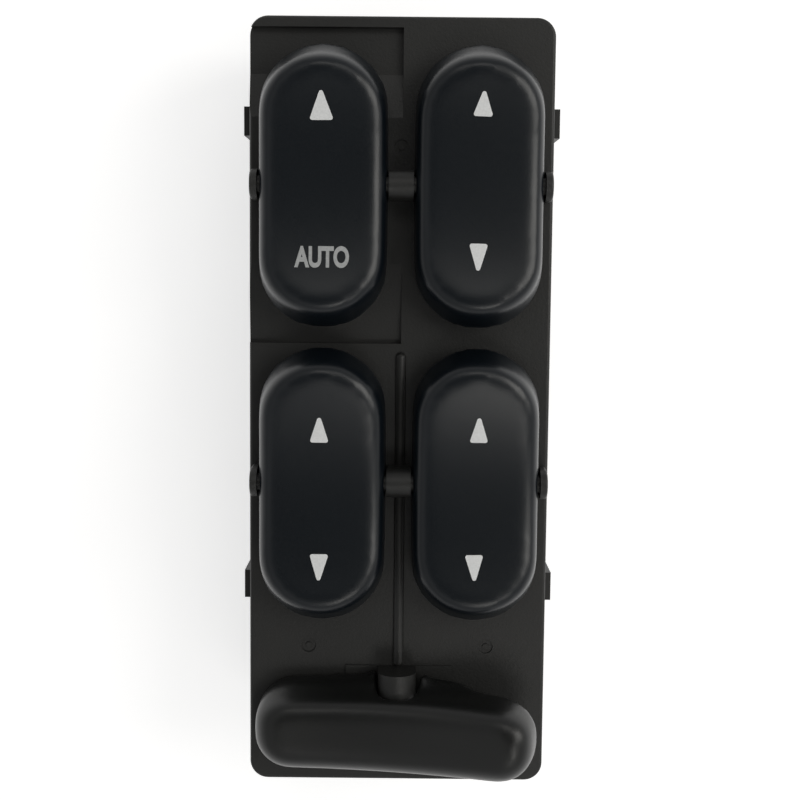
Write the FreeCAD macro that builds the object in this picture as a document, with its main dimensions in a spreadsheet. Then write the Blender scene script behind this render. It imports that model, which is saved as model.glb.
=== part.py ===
import FreeCAD, Part
import math
import os

import Sketcher
from FreeCAD import Placement, Rotation, Vector

# Power window switch: a moulded plate with four window rockers and one lock rocker,
# a contact board under it, and a lower case with the connector.
# Frame: +X right, +Y towards the front of the vehicle, +Z out of the plate.
# Origin: centre of the connector shroud's rim. Lengths are in millimetres, angles in degrees.
SIZES = {
    # Plate and case
    "plate_length": 125.0,
    "plate_width": 48.8,
    "plate_corner": 3.0,
    "plate_thickness": 2.6,
    "plate_edge_round": 0.5,
    "plate_top": 34.0,
    "case_wall": 1.8,
    "case_edge_round": 1.6,
    "split_height": 19.0,
    "lap_height": 1.5,
    "lap_gap": 0.1,
    "rib_radius": 0.85,
    "rib_front": 8.3,
    "rib_rear": -42.4,
    "rib_offset": 0.18,
    "gate_radius": 1.2,
    "gate_depth": 0.25,
    "gate_nub_radius": 0.45,
    "gate_front": 42.0,
    "gate_rear": -39.6,
    "gate_side": 14.65,
    "pad_width": 17.6,
    "pad_front": -42.9,
    "pad_rear": -60.0,
    "pad_height": 0.3,
    "pad_offset": 0.3,
    # Recess that gives the AUTO rocker its longer travel
    "recess_depth": 1.5,
    "recess_front": 60.75,
    "recess_floor_end": 53.5,
    "recess_ramp_end": 46.6,
    "recess_rear_start": 23.4,
    "recess_rear": 10.5,
    "recess_rear_depth": 1.2,
    "recess_side": 0.18,
    # Lower case, connector and board
    "floor_height": 11.0,
    "floor_thickness": 1.8,
    "post_height": 2.4,
    "post_radius": 2.2,
    "locator_radius": 1.0,
    "shroud_length": 39.0,
    "shroud_width": 17.0,
    "shroud_wall": 1.6,
    "key_width": 1.6,
    "key_depth": 1.0,
    "board_thickness": 1.6,
    "board_gap": 0.5,
    "board_corner": 2.0,
    "blade_width": 2.8,
    "blade_thickness": 0.8,
    "blade_tip": 2.5,
    "blade_chamfer": 0.25,
    "tail_width": 1.0,
    "tail_length": 1.4,
    "tail_gap": 0.15,
    "terminal_pitch": 5.0,
    "terminal_row_spacing": 10.6,
    "floor_rib_height": 1.6,
    "floor_rib_width": 1.2,
    "floor_rib_inset": 3.0,
    "plug_catch_depth": 1.2,
    "plug_catch_half": 3.0,
    "plug_catch_low": 3.0,
    "plug_catch_high": 5.2,
    "latch_root_low": 4.0,
    "latch_front": 46.4,
    "latch_rear": -30.5,
    "latch_width": 4.7,
    "latch_thickness": 1.2,
    "latch_gap": 0.2,
    "latch_top": 29.0,
    "latch_bar": 2.6,
    "catch_width": 2.3,
    "catch_depth": 1.0,
    "catch_height": 2.6,
    # Window rockers
    "column_offset": 12.3,
    "row_front": 35.7,
    "row_rear": -11.6,
    "rocker_width": 20.7,
    "rocker_length": 48.0,
    "rocker_shift": -0.4,
    "rocker_end_height": 10.6,
    "rocker_mid_height": 8.0,
    "rocker_top_length": 38.6,
    "rocker_top_width": 19.3,
    "cap_spare": 3.0,
    "scoop_reach": 40.0,
    "scoop_inset": 0.1,
    "rocker_wall": 1.6,
    "rocker_roof": 1.6,
    "rocker_round": 2.0,
    "rocker_lift": 0.5,
    "rocker_rise": 0.15,
    "rocker_travel": 7.0,
    "auto_travel": 10.0,
    # Pivots and legs
    "pivot_height": 4.2,
    "boss_radius": 2.35,
    "boss_gap": 0.3,
    "boss_side_gap": 0.15,
    "boss_overhang": 0.15,
    "boss_outer_inset": 0.6,
    "boss_edge_round": 0.35,
    "collar_radius": 2.1,
    "pin_radius": 1.4,
    "pin_clearance": 0.05,
    "bearing_radius": 2.7,
    "bearing_depth": 1.0,
    "leg_length": 17.6,
    "leg_width": 4.0,
    "leg_thickness": 2.4,
    "leg_tip_radius": 1.5,
    "slot_gap": 0.6,
    "lug_radius": 1.2,
    "lug_length": 1.7,
    "lug_drop": 12.8,
    # Carriages, wipers and springs
    "carriage_length": 7.0,
    "carriage_width": 7.6,
    "carriage_height": 4.7,
    "carriage_lift": 1.1,
    "carriage_base": 0.9,
    "fork_gap": 0.3,
    "fork_chamfer": 0.4,
    "guide_gap": 0.3,
    "guide_wall": 1.2,
    "web_depth": 8.0,
    "wiper_thickness": 0.25,
    "wiper_width": 4.6,
    "wiper_gap": 0.15,
    "spring_wire": 0.5,
    "spring_radius": 1.75,
    "spring_pitch": 0.62,
    "spring_drop": 9.1,
    "spring_arm": 5.8,
    "spring_post_radius": 1.2,
    "spring_turns": 1.5,
    "spring_stop_height": 0.8,
    # Lock rocker
    "lock_row": -51.5,
    "lock_length": 47.4,
    "lock_depth": 16.0,
    "lock_corner": 6.8,
    "lock_top_length": 44.4,
    "lock_top_depth": 11.7,
    "lock_top_corner": 5.1,
    "lock_top_shift": -0.75,
    "lock_end_height": 12.4,
    "lock_mid_height": 9.8,
    "lock_round": 3.6,
    "lock_tilt": 9.5,
    "lock_rise": 0.175,
    "lock_boss_radius": 3.1,
    "lock_boss_drop": 0.6,
    "lock_rear_boss": 1.0,
    "lock_rear_boss_radius": 2.2,
    "lock_ear_radius": 1.1,
    "lock_ear_inset": 1.0,
    "lock_ear_height": 3.1,
    "lock_rib_offset": 3.2,
    "lock_leg_depth": 3.4,
    "detent_width": 2.4,
    "detent_bump": 0.9,
    "detent_groove": 1.2,
    "detent_ridge": 0.5,
    # Parts on the board
    "relay_side": 13.0,
    "relay_height": 10.0,
    "relay_x": -13.9,
    "relay_y": 12.0,
    "chip_length": 8.0,
    "chip_width": 4.0,
    "chip_height": 1.5,
    "chip_x": 14.5,
    "chip_y": 8.0,
    "capacitor_radius": 3.1,
    "capacitor_height": 5.6,
    "capacitor_x": 14.5,
    "capacitor_y": 18.0,
}

doc = FreeCAD.newDocument("power_window_switch")
sheet = doc.addObject("Spreadsheet::Sheet", "Dims")
for row, (alias, value) in enumerate(SIZES.items(), start=1):
    sheet.set("A%d" % row, alias)
    sheet.set("B%d" % row, str(value))
    sheet.setAlias("B%d" % row, alias)



class Size:
    """A number together with the sheet expression that it comes from."""

    def __init__(self, value, text):
        self.value = value
        self.text = text

    def _join(self, other, mark, value, swap=False):
        other_text = other.text if isinstance(other, Size) else repr(other)
        pair = (other_text, self.text) if swap else (self.text, other_text)
        return Size(value, "(%s %s %s)" % (pair[0], mark, pair[1]))

    def __add__(self, other):
        return self._join(other, "+", self.value + number(other))

    def __radd__(self, other):
        return self._join(other, "+", number(other) + self.value, swap=True)

    def __sub__(self, other):
        return self._join(other, "-", self.value - number(other))

    def __rsub__(self, other):
        return self._join(other, "-", number(other) - self.value, swap=True)

    def __mul__(self, other):
        return self._join(other, "*", self.value * number(other))

    def __rmul__(self, other):
        return self._join(other, "*", number(other) * self.value, swap=True)

    def __truediv__(self, other):
        return self._join(other, "/", self.value / number(other))

    def __neg__(self):
        return Size(-self.value, "(0 - %s)" % self.text)


def number(size):
    """Plain value of a Size or a number."""
    return size.value if isinstance(size, Size) else float(size)


def sine(angle):
    """Sine of an angle in degrees."""
    return Size(math.sin(math.radians(angle.value)), "sin(%s)" % angle.text)


class Dimensions:
    """The sheet's cells, read by their aliases."""

    def __getattr__(self, alias):
        return Size(SIZES[alias], "Dims." + alias)


d = Dimensions()
doc.recompute()

# Levels and places that follow from the driving dimensions
half_width = d.plate_width / 2
half_length = d.plate_length / 2
plate_under = d.plate_top - d.plate_thickness
pivot_level = d.plate_top + d.pivot_height
floor_top = d.floor_height + d.floor_thickness
board_bottom = floor_top + d.post_height
board_top = board_bottom + d.board_thickness
terminal_rows = 7
terminal_x = d.terminal_row_spacing / 2
tip_level = pivot_level - d.leg_length
carriage_bottom = board_top + d.carriage_lift
carriage_top = carriage_bottom + d.carriage_height
rocker_swing = d.leg_length * sine(d.auto_travel)
lock_swing = d.leg_length * sine(d.lock_tilt)
guide_bottom = board_top + d.guide_gap
guide_half_width = d.carriage_width / 2 + d.guide_gap
guide_half_length = d.carriage_length / 2 + rocker_swing + d.guide_gap
lock_guide_half_length = d.carriage_length / 2 + lock_swing + d.guide_gap
slot_depth_below_pivot = d.pivot_height + d.plate_thickness
rocker_slot_half = d.leg_thickness / 2 + slot_depth_below_pivot * sine(d.auto_travel) + d.slot_gap
lock_slot_half = d.leg_thickness / 2 + slot_depth_below_pivot * sine(d.lock_tilt) + d.slot_gap
centre_boss_half = d.column_offset - d.rocker_width / 2 - d.boss_side_gap
end_boss_inner = d.column_offset + d.rocker_width / 2 + d.boss_side_gap
bearing_face = d.rocker_width / 2 - d.rocker_wall - 0.2
bearing_inner = bearing_face - d.bearing_depth
centre_pin_half = d.column_offset - bearing_inner
outer_pin_start = d.column_offset + bearing_inner
lock_rib_front = d.lock_rib_offset + d.rocker_wall / 2
lock_rib_inner = d.lock_rib_offset - d.rocker_wall / 2
lock_boss_face = lock_rib_front + d.boss_gap
spring_level = pivot_level - d.spring_drop

WINDOW_ROCKERS = {
    "front_left": (-d.column_offset, d.row_front, 1),
    "front_right": (d.column_offset, d.row_front, -1),
    "rear_left": (-d.column_offset, d.row_rear, 1),
    "rear_right": (d.column_offset, d.row_rear, -1),
}
LATCH_PLACES = {"front": d.latch_front, "rear": d.latch_rear}
FLOOR_RIB_SHARES = (-0.72, -0.45, 0.45, 0.72)

sub_parts = []


def bind(obj, **sizes):
    """Bind properties to the sheet; a double underscore in a name stands for a dot."""
    for key, size in sizes.items():
        name = key.replace("__", ".")
        if isinstance(size, Size):
            obj.setExpression(name, size.text)
        else:
            obj.setExpression(name, repr(float(size)))


def new_body(label):
    """A body whose label is the node's name."""
    body = doc.addObject("PartDesign::Body", label)
    body.Label = label
    sub_parts.append(body)
    return body


def place(obj, x, y, z):
    """Put a finished sub-part at its place in the frame."""
    bind(obj, Placement__Base__x=x, Placement__Base__y=y, Placement__Base__z=z)


def box(body, name, x, y, z, cut=False):
    """A block between two limits on each axis, added or cut."""
    kind = "PartDesign::SubtractiveBox" if cut else "PartDesign::AdditiveBox"
    block = body.newObject(kind, name)
    bind(block, Length=x[1] - x[0], Width=y[1] - y[0], Height=z[1] - z[0])
    bind(block, Placement__Base__x=x[0], Placement__Base__y=y[0], Placement__Base__z=z[0])
    return block


AXIS_TURN = {
    "X": Rotation(Vector(1, 0, 0), 180) * Rotation(Vector(0, 1, 0), 90),
    "Y": Rotation(Vector(1, 0, 0), -90),
    "Z": Rotation(),
}


def cylinder(body, name, axis, start, length, radius, cut=False):
    """A round bar from its start point along one axis, added or cut."""
    kind = "PartDesign::SubtractiveCylinder" if cut else "PartDesign::AdditiveCylinder"
    bar = body.newObject(kind, name)
    bar.Placement = Placement(Vector(), AXIS_TURN[axis])
    bind(bar, Radius=radius, Height=length)
    bind(bar, Placement__Base__x=start[0], Placement__Base__y=start[1], Placement__Base__z=start[2])
    return bar


def sketch_on(body, name, role, offset=0.0):
    """A sketch on one of the body's own origin planes, moved along the plane's normal."""
    plane = next(f for f in body.Origin.OriginFeatures if f.Role == role)
    sketch = body.newObject("Sketcher::SketchObject", name)
    sketch.AttachmentSupport = [(plane, "")]
    sketch.MapMode = "FlatFace"
    bind(sketch, AttachmentOffset__Base__z=offset)
    return sketch


def pin_point(sketch, edge, point, x, y):
    """Hold one point of a sketch edge at a place that the sheet drives."""
    for kind, size in (("DistanceX", x), ("DistanceY", y)):
        index = sketch.addConstraint(Sketcher.Constraint(kind, -1, 1, edge, point, number(size)))
        if isinstance(size, Size):
            sketch.setExpression("Constraints[%d]" % index, size.text)


def polygon(sketch, points):
    """A closed outline of straight lines through the given points."""
    first = sketch.GeometryCount
    count = len(points)
    for i in range(count):
        a = Vector(number(points[i][0]), number(points[i][1]), 0)
        b_point = points[(i + 1) % count]
        b = Vector(number(b_point[0]), number(b_point[1]), 0)
        sketch.addGeometry(Part.LineSegment(a, b))
    for i in range(count):
        sketch.addConstraint(Sketcher.Constraint("Coincident", first + i, 2, first + (i + 1) % count, 1))
        pin_point(sketch, first + i, 1, points[i][0], points[i][1])


def rounded_outline(sketch, half_x, half_y, radius, centre=(0.0, 0.0)):
    """A closed outline of four quarter arcs joined by straight lines."""
    first = sketch.GeometryCount
    r = number(radius)
    corners = [(1, 1, 0), (-1, 1, 90), (-1, -1, 180), (1, -1, 270)]
    for sign_x, sign_y, start in corners:
        x = number(centre[0]) + sign_x * (number(half_x) - r)
        y = number(centre[1]) + sign_y * (number(half_y) - r)
        circle = Part.Circle(Vector(x, y, 0), Vector(0, 0, 1), r)
        sketch.addGeometry(Part.ArcOfCircle(circle, math.radians(start), math.radians(start + 90)))
    for i, (sign_x, sign_y, start) in enumerate(corners):
        arc = first + i
        pin_point(sketch, arc, 3, centre[0] + sign_x * (half_x - radius), centre[1] + sign_y * (half_y - radius))
        index = sketch.addConstraint(Sketcher.Constraint("Radius", arc, r))
        sketch.setExpression("Constraints[%d]" % index, radius.text)
        level = "Horizontal" if start % 180 == 0 else "Vertical"
        upright = "Vertical" if start % 180 == 0 else "Horizontal"
        sketch.addConstraint(Sketcher.Constraint(level, arc, 3, arc, 1))
        sketch.addConstraint(Sketcher.Constraint(upright, arc, 3, arc, 2))
    for i in range(4):
        follower = first + (i + 1) % 4
        a = sketch.getPoint(first + i, 2)
        b = sketch.getPoint(follower, 1)
        line = sketch.addGeometry(Part.LineSegment(a, b))
        sketch.addConstraint(Sketcher.Constraint("Coincident", line, 1, first + i, 2))
        sketch.addConstraint(Sketcher.Constraint("Coincident", line, 2, follower, 1))


def stadium_outline(sketch, half_straight, radius, centre):
    """Two half circles, above and below the centre, joined by straight lines."""
    first = sketch.GeometryCount
    r = number(radius)
    for i, sign in enumerate((1, -1)):
        middle = Vector(number(centre[0]), number(centre[1]) + sign * number(half_straight), 0)
        circle = Part.Circle(middle, Vector(0, 0, 1), r)
        sketch.addGeometry(Part.ArcOfCircle(circle, math.pi * i, math.pi * (i + 1)))
    for i, sign in enumerate((1, -1)):
        arc = first + i
        pin_point(sketch, arc, 3, centre[0], centre[1] + sign * half_straight)
        index = sketch.addConstraint(Sketcher.Constraint("Radius", arc, r))
        sketch.setExpression("Constraints[%d]" % index, radius.text)
        sketch.addConstraint(Sketcher.Constraint("Horizontal", arc, 3, arc, 1))
        sketch.addConstraint(Sketcher.Constraint("Horizontal", arc, 3, arc, 2))
    for i in range(2):
        follower = first + (i + 1) % 2
        line = sketch.addGeometry(Part.LineSegment(sketch.getPoint(first + i, 2), sketch.getPoint(follower, 1)))
        sketch.addConstraint(Sketcher.Constraint("Coincident", line, 1, first + i, 2))
        sketch.addConstraint(Sketcher.Constraint("Coincident", line, 2, follower, 1))


def rectangles(sketch, spans):
    """Closed rectangles, each from its low and high limits on both axes."""
    for x0, x1, y0, y1 in spans:
        polygon(sketch, [(x0, y0), (x1, y0), (x1, y1), (x0, y1)])


def circles(sketch, places, radius):
    """Circles of one radius about several places."""
    for x, y in places:
        circle = sketch.addGeometry(Part.Circle(Vector(number(x), number(y), 0), Vector(0, 0, 1), number(radius)))
        pin_point(sketch, circle, 3, x, y)
        index = sketch.addConstraint(Sketcher.Constraint("Radius", circle, number(radius)))
        sketch.setExpression("Constraints[%d]" % index, radius.text)


def arch(sketch, centre, radius, low, level):
    """An upright outline with a half round top about a centre at the given level."""
    c, r, z = number(centre), number(radius), number(level)
    top = sketch.addGeometry(Part.ArcOfCircle(Part.Circle(Vector(c, z, 0), Vector(0, 0, 1), r), 0.0, math.pi))
    pin_point(sketch, top, 3, centre, level)
    index = sketch.addConstraint(Sketcher.Constraint("Radius", top, r))
    sketch.setExpression("Constraints[%d]" % index, radius.text)
    sketch.addConstraint(Sketcher.Constraint("Horizontal", top, 3, top, 1))
    sketch.addConstraint(Sketcher.Constraint("Horizontal", top, 3, top, 2))
    feet = (Vector(c - r, number(low), 0), Vector(c + r, number(low), 0))
    left = sketch.addGeometry(Part.LineSegment(Vector(c - r, z, 0), feet[0]))
    base = sketch.addGeometry(Part.LineSegment(feet[0], feet[1]))
    right = sketch.addGeometry(Part.LineSegment(feet[1], Vector(c + r, z, 0)))
    for a, a_point, b, b_point in ((top, 2, left, 1), (left, 2, base, 1), (base, 2, right, 1), (right, 2, top, 1)):
        sketch.addConstraint(Sketcher.Constraint("Coincident", a, a_point, b, b_point))
    pin_point(sketch, left, 2, centre - radius, low)
    pin_point(sketch, right, 1, centre + radius, low)


def pad(body, name, sketch, length, symmetric=False, taper=0.0):
    """Raise a sketch along its normal."""
    feature = body.newObject("PartDesign::Pad", name)
    feature.Profile = sketch
    feature.Midplane = symmetric
    bind(feature, Length=length)
    if isinstance(taper, Size):
        bind(feature, TaperAngle=taper)
    return feature


def pocket(body, name, sketch, length, reversed_way=False, symmetric=False, taper=0.0):
    """Cut a sketch against its normal, or along it when reversed."""
    feature = body.newObject("PartDesign::Pocket", name)
    feature.Profile = sketch
    feature.Reversed = reversed_way
    feature.Midplane = symmetric
    bind(feature, Length=length)
    if isinstance(taper, Size):
        bind(feature, TaperAngle=taper)
    return feature


def round_edges(body, name, radius, wanted, chamfer=False):
    """Round or chamfer the edges of the body's last feature that the test picks."""
    doc.recompute()
    base = body.Tip
    names = ["Edge%d" % (i + 1) for i, edge in enumerate(base.Shape.Edges) if wanted(edge)]
    kind = "PartDesign::Chamfer" if chamfer else "PartDesign::Fillet"
    feature = body.newObject(kind, name)
    feature.Base = (base, names)
    if chamfer:
        bind(feature, Size=radius)
    else:
        bind(feature, Radius=radius)
    return feature


def lies_between(edge, low, high):
    """True when the whole edge lies between two heights."""
    limits = edge.BoundBox
    return limits.ZMin > low and limits.ZMax < high


def stands_outside(edge, reach, low):
    """True when the edge lies beyond a distance on either side in X and rises above a height."""
    limits = edge.BoundBox
    beyond = limits.XMin > reach or limits.XMax < -reach
    return beyond and limits.ZMax > low + 0.1 and abs(abs(limits.XMax) - reach) < 0.1


def build_upper_housing():
    """Plate, skirt walls, pivot bosses, rib, recess, leg slots and carriage guides."""
    body = new_body("upper_housing")
    outline = sketch_on(body, "plate_outline", "XY_Plane", d.split_height)
    rounded_outline(outline, half_width, half_length, d.plate_corner)
    pad(body, "plate_block", outline, d.plate_top - d.split_height)
    cavity = sketch_on(body, "cavity_outline", "XY_Plane", d.split_height)
    rounded_outline(cavity, half_width - d.case_wall, half_length - d.case_wall, d.plate_corner - d.case_wall / 2)
    pocket(body, "cavity", cavity, plate_under - d.split_height, reversed_way=True)
    lap = sketch_on(body, "lap_outline", "XY_Plane", d.split_height)
    inset = d.case_wall / 2
    rounded_outline(lap, half_width - inset, half_length - inset, d.plate_corner - inset)
    pocket(body, "lap", lap, d.lap_height, reversed_way=True)
    top = number(d.plate_top)
    round_edges(body, "plate_edge", d.plate_edge_round, lambda e: lies_between(e, top - 0.01, top + 0.01))

    recess = sketch_on(body, "recess_profile", "YZ_Plane", d.recess_side)
    above = d.plate_top + d.recess_depth
    polygon(recess, [
        (d.recess_front, above),
        (d.recess_front, d.plate_top - d.recess_depth),
        (d.recess_floor_end, d.plate_top - d.recess_depth),
        (d.recess_ramp_end, d.plate_top),
        (d.recess_rear_start, d.plate_top),
        (d.recess_rear, d.plate_top - d.recess_rear_depth),
        (d.recess_rear, above),
    ])
    pocket(body, "recess", recess, half_width + 1.0)

    rows = (d.row_front, d.row_rear)
    boss_outer = half_width - d.boss_outer_inset
    spans = (
        ("centre", -centre_boss_half, centre_boss_half, d.boss_overhang, d.boss_overhang, centre_pin_half),
        ("left", -boss_outer, -end_boss_inner, 0.0, d.boss_overhang, -outer_pin_start),
        ("right", end_boss_inner, boss_outer, d.boss_overhang, 0.0, boss_outer),
    )
    for side, foot_start, foot_end, low_overhang, high_overhang, pin_end in spans:
        feet = sketch_on(body, side + "_boss_outline", "YZ_Plane", foot_start)
        for y in rows:
            arch(feet, y, d.boss_radius, d.plate_top - d.recess_depth, pivot_level)
        pad(body, side + "_boss_feet", feet, foot_end - foot_start)
        barrel_start = foot_start - low_overhang
        barrels = sketch_on(body, side + "_barrel_outline", "YZ_Plane", barrel_start)
        circles(barrels, [(y, pivot_level) for y in rows], d.boss_radius)
        pad(body, side + "_barrels", barrels, foot_end + high_overhang - barrel_start)
        pin_start = {"centre": -centre_pin_half, "left": -boss_outer, "right": outer_pin_start}[side]
        pins = sketch_on(body, side + "_pin_outline", "YZ_Plane", pin_start)
        circles(pins, [(y, pivot_level) for y in rows], d.pin_radius)
        pad(body, side + "_pins", pins, pin_end - pin_start)

    outer_face = number(boss_outer) - 0.01
    round_edges(body, "boss_edges", d.boss_edge_round, lambda e: stands_outside(e, outer_face, top))

    cylinder(body, "middle_rib", "Y", (d.rib_offset, d.rib_rear, d.plate_top), d.rib_front - d.rib_rear, d.rib_radius)
    for end, y in (("front", d.rib_front), ("rear", d.rib_rear)):
        ball = body.newObject("PartDesign::AdditiveSphere", "rib_end_" + end)
        bind(ball, Radius=d.rib_radius)
        bind(ball, Placement__Base__x=d.rib_offset, Placement__Base__y=y, Placement__Base__z=d.plate_top)

    gates = ((0.0, d.gate_front), (d.gate_side, d.gate_rear), (-d.gate_side, d.gate_rear))
    gate_rings = sketch_on(body, "gate_outline", "XY_Plane", d.plate_top)
    circles(gate_rings, gates, d.gate_radius)
    circles(gate_rings, gates, d.gate_nub_radius)
    pocket(body, "gate_rings", gate_rings, d.gate_depth)

    box(body, "lock_pad", around(d.pad_offset, d.pad_width / 2), (d.pad_rear, d.pad_front),
        (d.plate_top - 0.5, d.plate_top + d.pad_height))
    boss_level = pivot_level - d.lock_boss_drop
    boss_end = d.lock_row + lock_boss_face
    front_boss = sketch_on(body, "lock_front_boss_outline", "XZ_Plane", -d.pad_front)
    arch(front_boss, 0.0, d.lock_boss_radius, d.plate_top - 0.5, boss_level)
    pad(body, "lock_front_boss", front_boss, d.pad_front - boss_end)
    rear_boss = sketch_on(body, "lock_rear_boss_outline", "XZ_Plane", lock_boss_face - d.lock_row)
    arch(rear_boss, 0.0, d.lock_rear_boss_radius, d.plate_top - 0.5, pivot_level)
    pad(body, "lock_rear_boss", rear_boss, d.lock_rear_boss)
    pin_length = lock_boss_face - lock_rib_inner + 0.5
    cylinder(body, "lock_front_pin", "Y", (0.0, d.lock_row + lock_rib_inner, pivot_level), pin_length, d.pin_radius)
    cylinder(body, "lock_rear_pin", "Y", (0.0, d.lock_row - lock_boss_face - 0.5, pivot_level), pin_length, d.pin_radius)

    build_guides(body)

    for place_name, y in LATCH_PLACES.items():
        catches = sketch_on(body, place_name + "_catches", "XZ_Plane", -(y + d.catch_width / 2))
        catch_top = d.latch_top - d.latch_bar - 0.1
        for sign in (1, -1):
            polygon(catches, [
                (sign * half_width, catch_top - d.catch_height),
                (sign * (half_width + d.catch_depth), catch_top),
                (sign * (half_width - 0.5), catch_top),
                (sign * (half_width - 0.5), catch_top - d.catch_height),
            ])
        pad(body, place_name + "_catch", catches, d.catch_width)
    return body


def around(centre, half):
    """Low and high limit of a span about its middle."""
    return centre - half, centre + half


def build_guides(body):
    """Leg slots, carriage guides under them, their webs, and the posts and stops of the springs."""
    lock_slot_y = d.lock_leg_depth / 2 + d.slot_gap
    outer = guide_half_width + d.guide_wall
    boxes = [around(x, outer) + around(y, guide_half_length + d.guide_wall) for x, y, side in WINDOW_ROCKERS.values()]
    boxes.append(around(0.0, lock_guide_half_length + d.guide_wall) + around(d.lock_row, outer))
    bores = [around(x, guide_half_width) + around(y, guide_half_length) for x, y, side in WINDOW_ROCKERS.values()]
    bores.append(around(0.0, lock_guide_half_length) + around(d.lock_row, guide_half_width))
    slots = [around(x, guide_half_width) + around(y, rocker_slot_half) for x, y, side in WINDOW_ROCKERS.values()]
    slots.append(around(0.0, lock_slot_half) + around(d.lock_row, lock_slot_y))

    guide_outline = sketch_on(body, "guide_outline", "XY_Plane", guide_bottom)
    rectangles(guide_outline, boxes)
    pad(body, "guides", guide_outline, plate_under + 0.5 - guide_bottom)
    bore_outline = sketch_on(body, "guide_bore_outline", "XY_Plane", guide_bottom)
    rectangles(bore_outline, bores)
    pocket(body, "guide_bores", bore_outline, plate_under - guide_bottom, reversed_way=True)
    slot_outline = sketch_on(body, "slot_outline", "XY_Plane", d.plate_top + 1.0)
    rectangles(slot_outline, slots)
    pocket(body, "leg_slots", slot_outline, d.plate_thickness + 1.5)

    web_outline = sketch_on(body, "web_outline", "XY_Plane", plate_under - d.web_depth)
    inner_wall = half_width - d.case_wall
    guide_side = d.column_offset + outer
    for y in (d.row_front, d.row_rear):
        across = around(y, d.guide_wall / 2)
        rectangles(web_outline, [(guide_side, inner_wall) + across, (-inner_wall, -guide_side) + across])
    pad(body, "webs", web_outline, d.web_depth)

    stop_half = d.spring_radius - d.spring_wire / 2
    stop_top = spring_level - d.spring_arm - 0.3
    for side_name, start in (
        ("left", -d.column_offset + guide_half_width - d.lug_length),
        ("right", d.column_offset - guide_half_width),
    ):
        posts = sketch_on(body, side_name + "_spring_post_outline", "YZ_Plane", start)
        circles(posts, [(y, spring_level) for y in (d.row_front, d.row_rear)], d.spring_post_radius)
        pad(body, side_name + "_spring_posts", posts, d.lug_length)
        stops = sketch_on(body, side_name + "_spring_stop_outline", "YZ_Plane", start)
        rectangles(stops, [around(y, stop_half) + (stop_top, stop_top + d.spring_stop_height)
                           for y in (d.row_front, d.row_rear)])
        pad(body, side_name + "_spring_stops", stops, d.lug_length)


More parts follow.
